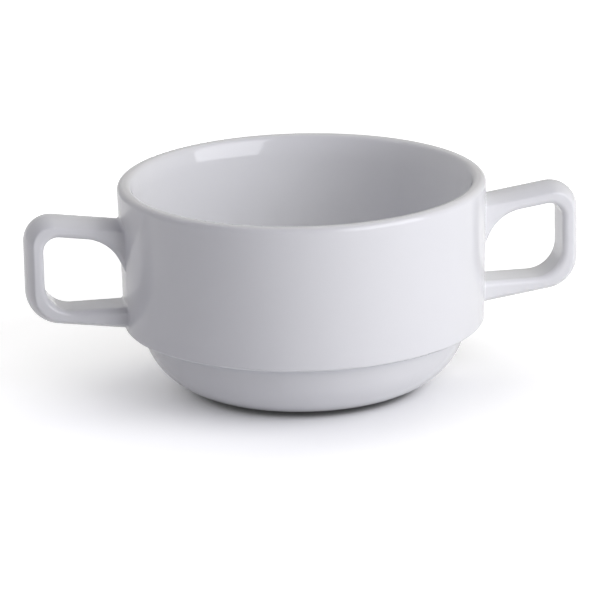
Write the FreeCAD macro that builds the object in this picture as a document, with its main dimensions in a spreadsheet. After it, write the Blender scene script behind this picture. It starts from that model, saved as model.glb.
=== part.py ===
import FreeCAD, Part
import math
import os
import Sketcher

# A two-handled stacking soup cup in glazed porcelain, cast in one piece: a round bowl with a
# stepped foot, so that one cup sits in the rim of the next, and a square loop handle on each side.
# Frame: origin on the standing plane under the middle of the cup, +Z up, handles along X.

os.makedirs("parts", exist_ok=True)
doc = FreeCAD.newDocument("BouillonCup")

# Sizes, in millimetres
sheet = doc.addObject("Spreadsheet::Sheet", "Sizes")
sizes = [
    ("rim_radius", 52.0, "outside of the lip, the widest part of the bowl"),
    ("cup_height", 60.0, "standing plane to the top of the lip"),
    ("lip_thickness", 3.5, "wall at the lip"),
    ("lip_round", 1.75, "rounding of the lip's two edges"),
    ("wall_draft", 0.9, "the wall is this much narrower at the stacking step than at the lip"),
    ("flare_width", 1.5, "how far the inside widens just under the lip"),
    ("flare_height", 3.8, "height of that flare"),
    ("flare_round", 16.0, "hollow rounding between the flare and the inside wall"),
    ("inside_draft", 5.4, "the inside is this much narrower at the floor than at the lip"),
    ("inside_round", 22.0, "large rounding between the inside wall and the floor"),
    ("floor_thickness", 4.2, "floor in the middle of the cup"),
    ("step_height", 18.9, "standing plane to the underside of the stacking step"),
    ("step_round", 1.0, "rounding of the step's outer edge"),
    ("nest_gap", 2.2, "play between the foot bowl and the lip of the cup it is stacked in"),
    ("crease_round", 1.0, "hollow rounding between the step and the foot bowl"),
    ("knee_inset", 2.0, "draft of the foot bowl from the step down to its rounded corner"),
    ("knee_height", 7.0, "standing plane to that corner, before it is rounded"),
    ("knee_round", 20.2, "radius of the foot bowl's curve"),
    ("base_inset", 10.5, "that corner in to the lower edge of the foot bowl"),
    ("base_height", 2.0, "standing plane to the lower edge of the foot bowl"),
    ("base_round", 1.2, "rounding of that edge"),
    ("ring_inset", 6.5, "lower edge of the foot bowl in to the foot ring"),
    ("ring_height", 1.5, "height of the foot ring's outer side"),
    ("ring_width", 3.2, "width of the foot ring"),
    ("ring_round", 0.6, "rounding of the foot ring's edges"),
    ("ring_crease", 0.5, "hollow rounding outside the foot ring"),
    ("recess_depth", 2.6, "hollow inside the foot ring"),
    ("recess_round", 0.7, "hollow rounding inside the foot ring"),
    ("handle_length", 27.2, "outside of the lip to the outer face of the handle"),
    ("handle_width", 12.4, "width of the handle's band"),
    ("crown_depth", 2.1, "how far the band's outer side falls away at its edges"),
    ("bar_thickness", 5.05, "upright bar of the handle"),
    ("arm_thickness", 5.2, "upper arm of the handle"),
    ("arm_drop", 8.6, "top of the lip down to the upper arm at its root"),
    ("arm_rise", 4.2, "rise of the upper arm from its root to the corner"),
    ("step_clear", 1.3, "stacking step up to the lower arm at its root"),
    ("lower_thickness", 7.3, "lower arm at its root"),
    ("lower_end", 5.0, "lower arm where the inner rounding of its corner starts"),
    ("web_clear", 6.0, "lower arm up to the foot of the web under the upper arm"),
    ("web_reach", 6.1, "how far that web stands out from the handle's root"),
    ("web_round", 12.0, "rounding between the web and the upper arm"),
    ("corner_top", 7.5, "outer rounding of the upper corner"),
    ("corner_low", 10.0, "outer rounding of the lower corner"),
    ("window_top_round", 4.0, "inner rounding of the upper corner"),
    ("window_low_round", 8.3, "inner rounding of the lower corner"),
    ("root_depth", 1.6, "how far the handle's ends run into the wall"),
    ("window_round", 1.75, "rounding of the band's two edges round the handle's opening"),
    ("crown_round", 0.8, "rounding of the edges of the crowned side"),
    ("root_round", 0.8, "rounding where the handle meets the wall"),
]
for row, (alias, value, note) in enumerate(sizes, start=1):
    sheet.set("A%d" % row, alias.replace("_", " "))
    sheet.set("B%d" % row, "%g" % value)
    sheet.set("C%d" % row, note)
    sheet.setAlias("B%d" % row, alias)
doc.recompute()


def amount(expression):
    """Value of an expression over the sheet's sizes."""
    value = sheet.evalExpression(expression)
    return float(getattr(value, "Value", value))


def origin_feature(body, role):
    """Origin plane or axis of a body, by its role."""
    return [item for item in body.Origin.OriginFeatures if item.Role == role][0]


def bind(sketch, index, name, expression):
    """Name a dimension of a sketch and tie it to the sheet."""
    sketch.renameConstraint(index, name)
    sketch.setExpression("Constraints." + name, expression)


def place(sketch, item, end, name, across, up):
    """Fix a point of a sketch by its two distances from the origin."""
    if across == "0":
        sketch.addConstraint(Sketcher.Constraint("PointOnObject", item, end, -2))
    else:
        index = sketch.addConstraint(Sketcher.Constraint("DistanceX", -1, 1, item, end, amount(across)))
        bind(sketch, index, name + "_x", across)
    if up == "0":
        sketch.addConstraint(Sketcher.Constraint("PointOnObject", item, end, -1))
    else:
        index = sketch.addConstraint(Sketcher.Constraint("DistanceY", -1, 1, item, end, amount(up)))
        bind(sketch, index, name + "_z", up)


def draw_outline(sketch, corners, closed=True):
    """Line through named corners, each sharp or rounded by an arc tangent to both sides."""
    points = [FreeCAD.Vector(amount(across), amount(up), 0) for name, across, up, rounding in corners]
    count = len(corners)
    ends = []
    arcs = []
    for i, (name, across, up, rounding) in enumerate(corners):
        before = (points[i - 1] - points[i]).normalize()
        after = (points[(i + 1) % count] - points[i]).normalize()
        if rounding is None:
            ends.append((points[i], points[i]))
            arcs.append(None)
            continue
        radius = amount(rounding)
        half = before.getAngle(after) / 2
        cut = radius / math.tan(half)
        start = points[i] + before * cut
        stop = points[i] + after * cut
        centre = points[i] + (before + after).normalize() * (radius / math.sin(half))
        turns_left = before.cross(after).z < 0
        first = start if turns_left else stop
        last = stop if turns_left else start
        angle_first = math.atan2(first.y - centre.y, first.x - centre.x)
        angle_last = math.atan2(last.y - centre.y, last.x - centre.x)
        if angle_last < angle_first:
            angle_last += 2 * math.pi
        circle = Part.Circle(centre, FreeCAD.Vector(0, 0, 1), radius)
        ends.append((start, stop))
        arcs.append((Part.ArcOfCircle(circle, angle_first, angle_last), turns_left, rounding))
    lines = []
    for i in range(count if closed else count - 1):
        segment = Part.LineSegment(ends[i][1], ends[(i + 1) % count][0])
        lines.append(sketch.addGeometry(segment, False))
    for i, (name, across, up, rounding) in enumerate(corners):
        if not closed and i == 0:
            place(sketch, lines[0], 1, name, across, up)
            continue
        if not closed and i == count - 1:
            place(sketch, lines[-1], 2, name, across, up)
            continue
        if arcs[i] is None:
            sketch.addConstraint(Sketcher.Constraint("Coincident", lines[i - 1], 2, lines[i], 1))
            place(sketch, lines[i], 1, name, across, up)
            continue
        arc, turns_left, rounding = arcs[i]
        curve = sketch.addGeometry(arc, False)
        near = 1 if turns_left else 2
        far = 2 if turns_left else 1
        corner = sketch.addGeometry(Part.Point(points[i]), True)
        sketch.addConstraint(Sketcher.Constraint("Tangent", lines[i - 1], 2, curve, near))
        sketch.addConstraint(Sketcher.Constraint("Tangent", curve, far, lines[i], 1))
        sketch.addConstraint(Sketcher.Constraint("PointOnObject", corner, 1, lines[i - 1]))
        sketch.addConstraint(Sketcher.Constraint("PointOnObject", corner, 1, lines[i]))
        place(sketch, corner, 1, name, across, up)
        index = sketch.addConstraint(Sketcher.Constraint("Radius", curve, amount(rounding)))
        bind(sketch, index, name + "_round", rounding)


def largest_arc(share, run_in, rise_in, run_out, rise_out):
    """Expression for the rounding that takes a share of a corner's shorter side."""
    side_in = "sqrt(%s ^ 2 + %s ^ 2)" % (run_in, rise_in)
    side_out = "sqrt(%s ^ 2 + %s ^ 2)" % (run_out, rise_out)
    cosine = "(%s * %s + %s * %s) / (%s * %s)" % (run_in, run_out, rise_in, rise_out, side_in, side_out)
    half_turn = "sqrt((1 - %s) / (1 + %s))" % (cosine, cosine)
    return "%g * min(%s; %s) / %s" % (share, side_in, side_out, half_turn)


def new_sketch(body, name, plane):
    """Sketch on one of the body's upright planes."""
    sketch = body.newObject("Sketcher::SketchObject", name)
    sketch.AttachmentSupport = [(origin_feature(body, plane), "")]
    sketch.MapMode = "FlatFace"
    doc.recompute()
    return sketch


def edges_where(feature, test):
    """Names of the edges whose points all pass a test."""
    names = []
    steps = 8
    for number, edge in enumerate(feature.Shape.Edges, start=1):
        if edge.Degenerated:
            continue
        first, last = edge.ParameterRange
        points = [edge.valueAt(first + (last - first) * k / steps) for k in range(steps + 1)]
        if all(test(point) for point in points):
            names.append("Edge%d" % number)
    return names


def add_fillet(body, name, base, edges, radius):
    """Round a set of edges of the shape so far."""
    fillet = body.newObject("PartDesign::Fillet", name)
    fillet.Base = (base, edges)
    fillet.setExpression("Radius", radius)
    doc.recompute()
    return fillet


cup = doc.addObject("PartDesign::Body", "bouillon_cup")
cup.Label = "bouillon_cup"
cup.AllowCompound = True
doc.recompute()

# Places that follow from the sizes
wall_radius = "(Sizes.rim_radius - Sizes.wall_draft)"
inner_rim = "(Sizes.rim_radius - Sizes.lip_thickness)"
nest_radius = "(%s - Sizes.nest_gap)" % inner_rim
knee_radius = "(%s - Sizes.knee_inset)" % nest_radius
base_radius = "(%s - Sizes.base_inset)" % knee_radius
ring_radius = "(%s - Sizes.ring_inset)" % base_radius
reach = "(Sizes.rim_radius + Sizes.handle_length)"
bar_inside = "(%s - Sizes.bar_thickness)" % reach
root = "(%s - Sizes.root_depth)" % wall_radius
arm_top = "(Sizes.cup_height - Sizes.arm_drop)"
lower_root = "(Sizes.step_height + Sizes.step_clear)"
window_low = "(%s + Sizes.lower_thickness)" % lower_root

# The most that a rounding takes of the band's edge, of the lip, of a corner's shorter side and of
# the handle's opening
window_edge_share = 0.62
crown_edge_share = 0.3
lip_share = 0.5
knee_share = 0.92
flare_share = 0.62
window_low_share = 0.55
window_top_share = 0.35

# Stock on the band's outer side that the crown's cutter takes off, how far the cutter stands
# clear of the band, and how far it runs past the band's ends inside the wall
stock = 0.3
cutter_room = 1.5
overrun = 0.5

# For choosing edges: how near a point lies to a face to be on it, how far an edge may be from the
# crown's depth, and how far an edge reaches out of the band's end face
touch = 0.02
crown_slack = 0.1
end_slack = 0.5

# Handle: a band bent into a square loop, its ends sunk into the wall, with a web under the
# upper arm
side = new_sketch(cup, "HandleSide", "XZ_Plane")
arm_slope = "Sizes.arm_rise / (%s - %s)" % (reach, root)
window = "(%s - Sizes.arm_thickness - %s)" % (arm_top, window_low)
low_round = "min(Sizes.window_low_round; %g * %s)" % (window_low_share, window)
top_round = "min(Sizes.window_top_round; %g * %s)" % (window_top_share, window)
low_slope = "(Sizes.lower_thickness - Sizes.lower_end) / (%s - %s - %s)" % (bar_inside, low_round, root)
web_across = "(%s + Sizes.web_reach)" % root
under_arm = arm_top + " - Sizes.arm_thickness + %s * (%s - %s)"
low_line = lower_root + " + %s * (%s - %s)"
top_line = arm_top + " + %s * (%s - %s)"
stock_reach = "(%s + %g)" % (reach, stock)
draw_outline(side, [
    ("under_root", root, "%s - %g" % (lower_root, stock), None),
    ("low_corner", stock_reach, low_line % (low_slope, stock_reach, root) + " - %g" % stock,
     "Sizes.corner_low + %g" % stock),
    ("top_corner", stock_reach, top_line % (arm_slope, stock_reach, root) + " + %g" % stock,
     "Sizes.corner_top + %g" % stock),
    ("top_root", root, "%s + %g" % (arm_top, stock), None),
    ("web_root", root, window_low + " + Sizes.web_clear", None),
    ("web", web_across, under_arm % (arm_slope, web_across, root), "Sizes.web_round"),
    ("window_top", bar_inside, under_arm % (arm_slope, bar_inside, root), top_round),
    ("window_low", bar_inside, window_low, low_round),
    ("window_root", root, window_low, None),
])
doc.recompute()

handle = cup.newObject("PartDesign::Pad", "Handle")
handle.Profile = (side, [""])
handle.SideType = "Symmetric"
handle.setExpression("Length", "Sizes.handle_width")
doc.recompute()

# The band's outer side, as a line
path = new_sketch(cup, "BandPath", "XZ_Plane")
path_in = "(%s - %g)" % (root, overrun)
path_top = "(%s)" % (top_line % (arm_slope, path_in, root))
draw_outline(path, [
    ("path_start", path_in, path_top, None),
    ("path_top", reach, arm_top + " + Sizes.arm_rise", "Sizes.corner_top"),
    ("path_low", reach, low_line % (low_slope, reach, root), "Sizes.corner_low"),
    ("path_end", path_in, low_line % (low_slope, path_in, root), None),
], closed=False)
doc.recompute()

half_band = "(Sizes.handle_width / 2)"
half_width = amount(half_band)
root_across = amount(root)
edge_band = "(min(Sizes.arm_thickness; Sizes.bar_thickness; Sizes.lower_end) - Sizes.crown_depth)"


def from_path(point):
    """Distance of a point from the band's outer side, seen from the side."""
    return path.Shape.distToShape(Part.Vertex(point.x, 0, point.z))[0]


def side_edges(feature, low, high):
    """Edges in the band's two side faces, at a range of distances from its outer side."""
    def test(point):
        return abs(abs(point.y) - half_width) < touch and low < from_path(point) < high
    return [name for name in edges_where(feature, test)
            if any(v.X > root_across + end_slack for v in feature.Shape.getElement(name).Vertexes)]


# Soft edges round the opening
window_edges = side_edges(handle, amount("Sizes.arm_thickness / 2"), math.inf)
soft_window = add_fillet(cup, "WindowEdges", handle, window_edges,
                         "min(Sizes.window_round; %g * %s)" % (window_edge_share, edge_band))

# The outer side of the band is crowned: it falls away towards both edges
crown_section = new_sketch(cup, "CrownSection", "YZ_Plane")
crown_section.setExpression("AttachmentOffset.Base.z", path_in)
doc.recompute()
crown_radius = "((%s ^ 2 + Sizes.crown_depth ^ 2) / (2 * Sizes.crown_depth))" % half_band
crown_edge = "(%s + %g)" % (half_band, cutter_room)
middle = FreeCAD.Vector(0, amount(path_top) - amount(crown_radius), 0)
spread = math.asin(amount(crown_edge) / amount(crown_radius))
circle = Part.Circle(middle, FreeCAD.Vector(0, 0, 1), amount(crown_radius))
arc = Part.ArcOfCircle(circle, math.pi / 2 - spread, math.pi / 2 + spread)
curve = crown_section.addGeometry(arc, False)
near_edge = circle.value(math.pi / 2 - spread)
far_edge = circle.value(math.pi / 2 + spread)
near_corner = FreeCAD.Vector(near_edge.x, amount(path_top) + cutter_room, 0)
far_corner = FreeCAD.Vector(far_edge.x, amount(path_top) + cutter_room, 0)
near_side = crown_section.addGeometry(Part.LineSegment(near_edge, near_corner), False)
outside = crown_section.addGeometry(Part.LineSegment(near_corner, far_corner), False)
far_side = crown_section.addGeometry(Part.LineSegment(far_corner, far_edge), False)
crown_section.addConstraint(Sketcher.Constraint("Coincident", curve, 1, near_side, 1))
crown_section.addConstraint(Sketcher.Constraint("Coincident", near_side, 2, outside, 1))
crown_section.addConstraint(Sketcher.Constraint("Coincident", outside, 2, far_side, 1))
crown_section.addConstraint(Sketcher.Constraint("Coincident", far_side, 2, curve, 2))
crown_section.addConstraint(Sketcher.Constraint("Vertical", near_side))
crown_section.addConstraint(Sketcher.Constraint("Vertical", far_side))
crown_section.addConstraint(Sketcher.Constraint("Symmetric", outside, 1, outside, 2, -2))
place(crown_section, curve, 3, "crown_middle", "0", "%s - %s" % (path_top, crown_radius))
index = crown_section.addConstraint(Sketcher.Constraint("Radius", curve, amount(crown_radius)))
bind(crown_section, index, "crown_radius", crown_radius)
place(crown_section, outside, 1, "near_corner", crown_edge, "%s + %g" % (path_top, cutter_room))
doc.recompute()

crown = cup.newObject("PartDesign::SubtractivePipe", "Crown")
crown.Profile = crown_section
crown.Spine = (path, [])
doc.recompute()

crown_depth = amount("Sizes.crown_depth")
crown_edges = side_edges(crown, crown_depth - crown_slack, crown_depth + crown_slack)
soft_crown = add_fillet(cup, "CrownEdges", crown, crown_edges,
                        "min(Sizes.crown_round; %g * %s)" % (crown_edge_share, edge_band))

both = cup.newObject("PartDesign::Mirrored", "BothHandles")
both.TransformMode = "Whole shape"
both.MirrorPlane = (origin_feature(cup, "YZ_Plane"), [""])
cup.Tip = both
doc.recompute()

# Bowl: one section turned round the upright axis, joined to both handles
section = new_sketch(cup, "CupSection", "YZ_Plane")
lip_round = "min(Sizes.lip_round; %g * Sizes.lip_thickness)" % lip_share
ring_inside = "%s - Sizes.ring_width" % ring_radius
inside_floor = "Sizes.recess_depth + Sizes.floor_thickness"
knee_rise = "(Sizes.knee_height - Sizes.base_height)"
knee_drop = "(Sizes.step_height - Sizes.knee_height)"
knee_limit = largest_arc(knee_share, "Sizes.base_inset", knee_rise, "Sizes.knee_inset", knee_drop)
knee_round = "min(Sizes.knee_round; %s)" % knee_limit
flare_low = "(Sizes.cup_height - Sizes.flare_height)"
inside_run = "(Sizes.inside_draft - Sizes.flare_width)"
inside_drop = "(%s - (%s))" % (flare_low, inside_floor)
flare_limit = largest_arc(flare_share, "Sizes.flare_width", "Sizes.flare_height", inside_run, inside_drop)
flare_round = "min(Sizes.flare_round; %s)" % flare_limit
draw_outline(section, [
    ("recess_middle", "0", "Sizes.recess_depth", None),
    ("recess", ring_inside, "Sizes.recess_depth", "Sizes.recess_round"),
    ("ring_in", ring_inside, "0", "Sizes.ring_round"),
    ("ring_out", ring_radius, "0", "Sizes.ring_round"),
    ("ring_top", ring_radius, "Sizes.ring_height", "Sizes.ring_crease"),
    ("base", base_radius, "Sizes.base_height", "Sizes.base_round"),
    ("knee", knee_radius, "Sizes.knee_height", knee_round),
    ("crease", nest_radius, "Sizes.step_height", "Sizes.crease_round"),
    ("step", wall_radius, "Sizes.step_height", "Sizes.step_round"),
    ("lip_out", "Sizes.rim_radius", "Sizes.cup_height", lip_round),
    ("lip_in", inner_rim, "Sizes.cup_height", lip_round),
    ("flare", inner_rim + " - Sizes.flare_width", flare_low, flare_round),
    ("inside", inner_rim + " - Sizes.inside_draft", inside_floor, "Sizes.inside_round"),
    ("floor_middle", "0", inside_floor, None),
])
doc.recompute()

bowl = cup.newObject("PartDesign::Revolution", "Bowl")
bowl.Profile = (section, [""])
bowl.ReferenceAxis = (section, ["V_Axis"])
bowl.Angle = 360
cup.Tip = bowl
doc.recompute()

# Soft roots where the handles meet the outside of the wall
wall = amount(wall_radius)
wall_end = amount("Sizes.step_height + Sizes.step_round")
lean = (amount("Sizes.rim_radius") - wall) / (amount("Sizes.cup_height") - amount("Sizes.step_height"))


def on_wall(point):
    """True on the outside face of the wall, within the width of a handle."""
    radius = wall + lean * (point.z - amount("Sizes.step_height"))
    near = abs(math.hypot(point.x, point.y) - radius) < touch
    return near and abs(point.y) < half_width + touch and point.z > wall_end


root_edges = edges_where(bowl, on_wall)
soft_root = add_fillet(cup, "RootEdges", bowl, root_edges, "Sizes.root_round")
cup.Tip = soft_root
cup.Placement = FreeCAD.Placement(FreeCAD.Vector(0, 0, 0), FreeCAD.Rotation())
doc.recompute()

# Every object must have worked before anything is written
for item in doc.Objects:
    if "Invalid" in item.State or "Error" in item.State:
        raise RuntimeError("%s failed: %s" % (item.Name, item.State))
for sketch in (section, side, path, crown_section):
    if sketch.solve() != 0:
        raise RuntimeError("%s is not solved" % sketch.Name)
shape = cup.Shape
if shape.isNull() or not shape.isValid() or len(shape.Solids) != 1:
    raise RuntimeError("bouillon_cup has no single valid solid")
box = shape.optimalBoundingBox()
print("bouillon_cup %.2f x %.2f x %.2f mm, volume %.1f cm3, %d faces"
      % (box.XLength, box.YLength, box.ZLength, shape.Volume / 1000, len(shape.Faces)))
shape.exportStep("parts/bouillon_cup.step")
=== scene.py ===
import math

import bpy
from mathutils import Matrix, Vector

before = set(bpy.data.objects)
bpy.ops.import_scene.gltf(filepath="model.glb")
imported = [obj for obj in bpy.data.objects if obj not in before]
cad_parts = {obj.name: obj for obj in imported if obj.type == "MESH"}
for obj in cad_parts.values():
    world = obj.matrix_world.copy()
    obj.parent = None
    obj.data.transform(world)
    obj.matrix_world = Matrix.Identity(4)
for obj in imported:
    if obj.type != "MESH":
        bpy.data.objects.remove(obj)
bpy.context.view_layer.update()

MM = 0.001

# Camera: a long lens, a little left of the cup's front and looking down into it. Places are in
# millimetres before the factor, the roll in degrees, lens and sensor in millimetres, and the
# clipping distances in metres
CAMERA_PLACE = Vector((-213.70, -1202.84, 391.69)) * MM
CAMERA_AIM = Vector((-1.09, 0.19, 24.32)) * MM
CAMERA_ROLL = -1.257
CAMERA_LENS = 270.0
SENSOR_WIDTH = 36.0
CLIP_START = 0.05
CLIP_END = 20.0

# Cup: where the glaze changes, in millimetres
RIM_RADIUS = 52.0
CUP_HEIGHT = 60.0
STEP_HEIGHT = 18.9
CREASE_RADIUS = 46.3

# Glaze that has gathered in the hollow under the stacking step, bluer from the thicker glaze and
# darker
# there as painted shade in the crease: how far from the crease it is full and how far it ends, in
# millimetres, its colour, and how strongly it shows
POOL_TINT_AND_SHADE_FULL = 0.5
POOL_TINT_AND_SHADE_END = 3.2
POOL_TINT_AND_SHADE_COLOR = (0.70, 0.735, 0.775, 1.0)
POOL_TINT_AND_SHADE_SHARE = 0.5

# Thin glaze on top of the lip: its middle in from the rim, half of its width where it is thinnest
# and where it ends, and the same downwards, in millimetres. Then its colour, how strongly it shows,
# and what it adds to the roughness
LIP_MIDDLE = 1.9
LIP_FULL = 0.7
LIP_END = 2.1
LIP_TOP = 0.1
LIP_DOWN = 1.4
LIP_COLOR = (0.87, 0.862, 0.845, 1.0)
LIP_SHARE = 0.35
LIP_ROUGHNESS = 0.03

# Bare face of the foot ring: the height of its edge, how far that edge waves and how soft it is,
# in millimetres. Then its two colours and what it adds to the roughness
BARE_HEIGHT = 0.32
BARE_WAVE = 0.16
BARE_BLUR = 0.05
BARE_DARK = (0.66, 0.635, 0.59, 1.0)
BARE_PALE = (0.76, 0.74, 0.70, 1.0)
BARE_ROUGHNESS = 0.62

# Glaze elsewhere: its two cloudy colours, its refraction, and the roughness at the low and the high
# level of its patches
GLAZE_DARK = (0.800, 0.803, 0.818, 1.0)
GLAZE_PALE = (0.832, 0.833, 0.842, 1.0)
GLAZE_IOR = 1.5
PATCH_LOW = 0.3
PATCH_HIGH = 0.7
GLOSS_LOW = 0.055
GLOSS_HIGH = 0.10

# Noises: scale, detail, roughness
WAVE_NOISE = (160.0, 2.0, 0.5)
CLOUD_NOISE = (26.0, 3.0, 0.55)
GRAIN_NOISE = (2600.0, 2.0, 0.6)
PATCH_NOISE = (48.0, 4.0, 0.6)
RIPPLE_NOISE = (95.0, 1.5, 0.4)
SKIN_NOISE = (620.0, 1.0, 0.5)

# Depths of the surface's unevenness, in millimetres
RIPPLE_DEPTH = 0.030
SKIN_DEPTH = 0.0035
GRAIN_DEPTH = 0.05

# Vertices of the cup's mesh nearer to each other than this are one, in millimetres
SEAM_WIDTH = 0.001

# Lamps: azimuth from the front towards the right, elevation, distance in metres, width and height
# in metres, brightness of the face, colour, and whether the glaze mirrors them
LAMPS = {
    "key_softbox": (44, 25, 1.20, 1.12, 1.10, 3.50, (0.985, 0.985, 1.03), True),
    "left_fill": (275, 40, 1.20, 0.80, 0.80, 0.72, (0.96, 0.96, 1.15), False),
    "back_left_low": (235, 12, 1.20, 0.70, 0.40, 1.63, (1.04, 1.02, 0.90), False),
    "back_left_high": (225, 40, 1.20, 0.80, 0.80, 1.44, (1.0, 1.0, 1.0), False),
    "back_right_fill": (135, 40, 1.20, 0.80, 0.80, 1.72, (1.05, 1.03, 0.88), False),
}
LAMP_AIM = Vector((0, 0, 0.03))

# Room: its own light and colour, the white that the camera sees, and the share of that white that
# the glaze mirrors
AMBIENT = 0.015
AMBIENT_COLOR = (0.60, 0.40, 1.0, 1.0)
WHITE = 1.0
WHITE_COLOR = (1.0, 1.0, 1.0, 1.0)
MIRROR_SHARE = 0.55

# Floor: half of its side in metres, how far it lies under the cup in millimetres, its own light,
# its colour in the open and its painted shadow colour close under the cup, and its roughness and
# gloss
FLOOR_HALF = 3.0
FLOOR_DROP = 0.02
FLOOR_LIFT = 0.62
FLOOR_COLOR = (0.85, 0.85, 0.86, 1.0)
PAINTED_SHADOW_COLOR = (0.10, 0.10, 0.11, 1.0)
FLOOR_ROUGHNESS = 0.8
FLOOR_GLOSS = 0.2

# How far the floor looks up for the cup, in millimetres: for the painted wide shade, where its glow
# to the camera fades, and for the painted shadow under the foot. Then the open shares at which that
# painted shadow is full and at which it ends
OPEN_REACH = 50.0
CONTACT_REACH = 2.2
CONTACT_FULL = 0.64
CONTACT_END = 0.80
OPEN_SAMPLES = 16


class Nodes:
    """Small helper that adds and joins the nodes of one material."""

    def __init__(self, tree):
        self.tree = tree

    def add(self, kind, **settings):
        node = self.tree.nodes.new(kind)
        for name, value in settings.items():
            setattr(node, name, value)
        return node

    def join(self, source, target):
        self.tree.links.new(source, target)

    def feed(self, socket, value):
        """Join a node's output to a socket, or set the socket to a plain value."""
        if isinstance(value, bpy.types.NodeSocket):
            self.join(value, socket)
        else:
            socket.default_value = value

    def math(self, operation, a, b=0.0):
        node = self.add("ShaderNodeMath", operation=operation)
        for socket, value in zip(node.inputs, (a, b)):
            self.feed(socket, value)
        return node.outputs[0]

    def length(self, a, b):
        """Length of the diagonal over two distances."""
        squares = self.math("ADD", self.math("MULTIPLY", a, a), self.math("MULTIPLY", b, b))
        return self.math("SQRT", squares)

    def ramp(self, value, low, high, to_low=0.0, to_high=1.0):
        """Smooth step from one level to another."""
        node = self.add("ShaderNodeMapRange", interpolation_type="SMOOTHSTEP")
        for socket, item in zip(node.inputs, (value, low, high, to_low, to_high)):
            self.feed(socket, item)
        return node.outputs["Result"]

    def noise(self, place, values):
        node = self.add("ShaderNodeTexNoise")
        self.feed(node.inputs["Vector"], place)
        for name, value in zip(("Scale", "Detail", "Roughness"), values):
            node.inputs[name].default_value = value
        return node.outputs["Fac"]

    def mix_color(self, share, a, b):
        node = self.add("ShaderNodeMix", data_type="RGBA")
        self.feed(node.inputs["Factor"], share)
        self.feed(node.inputs["A"], a)
        self.feed(node.inputs["B"], b)
        return node.outputs["Result"]

    def bump(self, height, depth, below=None):
        """Unevenness of a depth in millimetres, on top of the one below."""
        node = self.add("ShaderNodeBump")
        node.inputs["Strength"].default_value = 1.0
        node.inputs["Distance"].default_value = depth * MM
        self.join(height, node.inputs["Height"])
        if below is not None:
            self.join(below, node.inputs["Normal"])
        return node.outputs["Normal"]


def new_material(name):
    """Empty node material with an output and a Principled shader."""
    material = bpy.data.materials.new(name)
    material.use_nodes = True
    tree = material.node_tree
    tree.nodes.clear()
    nodes = Nodes(tree)
    out = nodes.add("ShaderNodeOutputMaterial")
    shader = nodes.add("ShaderNodeBsdfPrincipled")
    nodes.join(shader.outputs["BSDF"], out.inputs["Surface"])
    return material, nodes, shader


def glazed_porcelain():
    """White porcelain under a clear gloss glaze, bare on the standing face of the foot ring."""
    material, nodes, shader = new_material("glazed_porcelain")
    place = nodes.add("ShaderNodeTexCoord").outputs["Object"]
    split = nodes.add("ShaderNodeSeparateXYZ")
    nodes.join(place, split.inputs["Vector"])
    x, y, z = (split.outputs[axis] for axis in "XYZ")
    radius = nodes.length(x, y)

    # The glaze gathers in the hollow under the stacking step and looks a little deeper and bluer
    # there;
    # the darkening in that crease is painted shade
    out_from_crease = nodes.math("SUBTRACT", radius, CREASE_RADIUS * MM)
    up_from_crease = nodes.math("SUBTRACT", z, STEP_HEIGHT * MM)
    from_crease = nodes.length(out_from_crease, up_from_crease)
    pool_tint_and_shade = nodes.ramp(from_crease, POOL_TINT_AND_SHADE_FULL * MM, POOL_TINT_AND_SHADE_END * MM, 1.0, 0.0)

    # It draws back from the top of the lip and lets the body show through
    across_lip = nodes.math("SUBTRACT", radius, (RIM_RADIUS - LIP_MIDDLE) * MM)
    from_lip = nodes.math("ABSOLUTE", across_lip)
    thin_across = nodes.ramp(from_lip, LIP_FULL * MM, LIP_END * MM, 1.0, 0.0)
    thin_up = nodes.ramp(z, (CUP_HEIGHT - LIP_DOWN) * MM, (CUP_HEIGHT - LIP_TOP) * MM)
    thin = nodes.math("MULTIPLY", thin_across, thin_up)

    # The face of the foot ring is wiped bare before firing, along a slightly wavy line
    wave = nodes.math("MULTIPLY", nodes.noise(place, WAVE_NOISE), BARE_WAVE * MM)
    line = nodes.math("ADD", wave, BARE_HEIGHT * MM)
    over_line = nodes.math("SUBTRACT", z, line)
    bare = nodes.ramp(over_line, -BARE_BLUR * MM, BARE_BLUR * MM, 1.0, 0.0)

    color = nodes.mix_color(nodes.noise(place, CLOUD_NOISE), GLAZE_DARK, GLAZE_PALE)
    # Painted shade: the crease under the stacking step is mixed darker and bluer
    color = nodes.mix_color(nodes.math("MULTIPLY", pool_tint_and_shade, POOL_TINT_AND_SHADE_SHARE), color, POOL_TINT_AND_SHADE_COLOR)
    color = nodes.mix_color(nodes.math("MULTIPLY", thin, LIP_SHARE), color, LIP_COLOR)
    grain = nodes.noise(place, GRAIN_NOISE)
    bare_color = nodes.mix_color(grain, BARE_DARK, BARE_PALE)
    nodes.join(nodes.mix_color(bare, color, bare_color), shader.inputs["Base Color"])

    # Gloss: even, with faint cloudy patches
    patches = nodes.noise(place, PATCH_NOISE)
    gloss = nodes.ramp(patches, PATCH_LOW, PATCH_HIGH, GLOSS_LOW, GLOSS_HIGH)
    rough = nodes.math("ADD", gloss, nodes.math("MULTIPLY", thin, LIP_ROUGHNESS))
    rough = nodes.math("ADD", rough, nodes.math("MULTIPLY", bare, BARE_ROUGHNESS))
    nodes.join(rough, shader.inputs["Roughness"])

    # The glaze's slow ripple and fine skin, and the grain of the bare face
    ripple = nodes.bump(nodes.noise(place, RIPPLE_NOISE), RIPPLE_DEPTH)
    skin = nodes.bump(nodes.noise(place, SKIN_NOISE), SKIN_DEPTH, ripple)
    biscuit = nodes.bump(nodes.math("MULTIPLY", grain, bare), GRAIN_DEPTH, skin)
    nodes.join(biscuit, shader.inputs["Normal"])
    shader.inputs["IOR"].default_value = GLAZE_IOR
    return material


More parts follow.
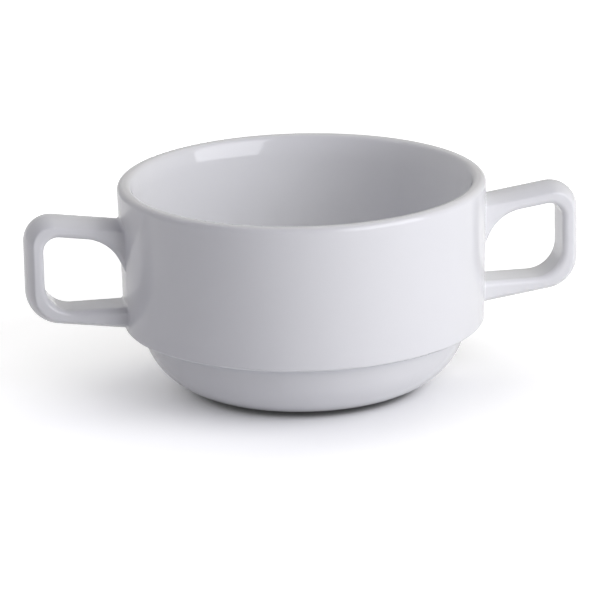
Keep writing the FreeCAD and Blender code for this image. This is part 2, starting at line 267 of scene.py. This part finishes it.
def seen_share(nodes):
    """How white the room is: all of it to the camera, a share of it in the glaze's mirror."""
    sight = nodes.add("ShaderNodeLightPath").outputs
    mirrored = nodes.math("MAXIMUM", sight["Is Glossy Ray"], sight["Is Transmission Ray"])
    mirrored = nodes.math("MULTIPLY", mirrored, MIRROR_SHARE)
    return nodes.math("MAXIMUM", sight["Is Camera Ray"], mirrored)


def open_share(nodes, reach):
    """How open the room is over a point of the floor, within a reach in millimetres."""
    node = nodes.add("ShaderNodeAmbientOcclusion", samples=OPEN_SAMPLES)
    node.inputs["Distance"].default_value = reach * MM
    return node.outputs["AO"]


def add_floor():
    """Plain pale floor: white to the camera, with painted shade around the cup and a painted shadow
    where the cup closes over it.
    """
    material, nodes, shader = new_material("pale_floor")
    # Painted shadow: the floor's colour turns near black where the cup closes over it
    near_cup = open_share(nodes, CONTACT_REACH)
    painted_shadow_share = nodes.ramp(near_cup, CONTACT_FULL, CONTACT_END, 1.0, 0.0)
    color = nodes.mix_color(painted_shadow_share, FLOOR_COLOR, PAINTED_SHADOW_COLOR)
    nodes.join(color, shader.inputs["Base Color"])
    shader.inputs["Roughness"].default_value = FLOOR_ROUGHNESS
    shader.inputs["Specular IOR Level"].default_value = FLOOR_GLOSS
    shader.inputs["Emission Color"].default_value = WHITE_COLOR
    # Painted shade: the floor's glow to the camera fades where the cup hides the room, a wide soft
    # shade around it
    lift = nodes.math("MULTIPLY", seen_share(nodes), open_share(nodes, OPEN_REACH))
    lift = nodes.math("MULTIPLY", lift, FLOOR_LIFT)
    nodes.join(lift, shader.inputs["Emission Strength"])

    corners = [(x * FLOOR_HALF, y * FLOOR_HALF, 0) for x, y in ((-1, -1), (1, -1), (1, 1), (-1, 1))]
    mesh = bpy.data.meshes.new("floor")
    mesh.from_pydata(corners, [], [(0, 1, 2, 3)])
    mesh.materials.append(material)
    floor = bpy.data.objects.new("floor", mesh)
    floor.location.z = -FLOOR_DROP * MM
    bpy.context.scene.collection.objects.link(floor)


def add_world():
    """Even studio light; the camera and the glaze see a white room."""
    world = bpy.data.worlds.new("studio")
    bpy.context.scene.world = world
    world.use_nodes = True
    tree = world.node_tree
    tree.nodes.clear()
    nodes = Nodes(tree)
    out = nodes.add("ShaderNodeOutputWorld")
    mix = nodes.add("ShaderNodeMixShader")
    nodes.join(seen_share(nodes), mix.inputs[0])
    lights = ((AMBIENT_COLOR, AMBIENT), (WHITE_COLOR, WHITE))
    for socket, (color, strength) in zip(mix.inputs[1:], lights):
        light = nodes.add("ShaderNodeBackground")
        light.inputs["Color"].default_value = color
        light.inputs["Strength"].default_value = strength
        nodes.join(light.outputs[0], socket)
    nodes.join(mix.outputs[0], out.inputs["Surface"])


def add_camera():
    """Camera at the photograph's viewing angle."""
    data = bpy.data.cameras.new("Camera")
    data.lens = CAMERA_LENS
    data.sensor_width = SENSOR_WIDTH
    data.clip_start = CLIP_START
    data.clip_end = CLIP_END
    camera = bpy.data.objects.new("Camera", data)
    bpy.context.scene.collection.objects.link(camera)
    turn = (CAMERA_AIM - CAMERA_PLACE).to_track_quat("-Z", "Y").to_matrix().to_4x4()
    roll = Matrix.Rotation(math.radians(CAMERA_ROLL), 4, "Z")
    camera.matrix_world = Matrix.Translation(CAMERA_PLACE) @ turn @ roll
    bpy.context.scene.camera = camera


def add_lamp(name, azimuth, elevation, distance, width, height, brightness, color, mirrored):
    """Rectangular softbox that faces the cup, given by its direction and its brightness."""
    turn = math.radians(azimuth)
    rise = math.radians(elevation)
    level = math.cos(rise)
    way = Vector((math.sin(turn) * level, -math.cos(turn) * level, math.sin(rise)))
    data = bpy.data.lights.new(name, "AREA")
    data.shape = "RECTANGLE"
    data.size = width
    data.size_y = height
    data.energy = brightness * math.pi * width * height
    data.color = color
    lamp = bpy.data.objects.new(name, data)
    lamp.location = LAMP_AIM + way * distance
    lamp.rotation_euler = (-way).to_track_quat("-Z", "Y").to_euler()
    lamp.visible_glossy = mirrored
    bpy.context.scene.collection.objects.link(lamp)


def flow_shading(piece):
    """Closes the seams between faces, so that the gloss runs on smoothly over every rounding."""
    seams = piece.modifiers.new("seams", "WELD")
    seams.merge_threshold = SEAM_WIDTH * MM
    flow = piece.modifiers.new("flow", "WEIGHTED_NORMAL")
    flow.mode = "FACE_AREA_WITH_ANGLE"
    flow.keep_sharp = False


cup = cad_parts["bouillon_cup"]
cup.data.materials.clear()
cup.data.materials.append(glazed_porcelain())
flow_shading(cup)

add_camera()
add_floor()
add_world()
for lamp_name, lamp_values in LAMPS.items():
    add_lamp(lamp_name, *lamp_values)

bpy.context.scene.view_settings.view_transform = "Standard"
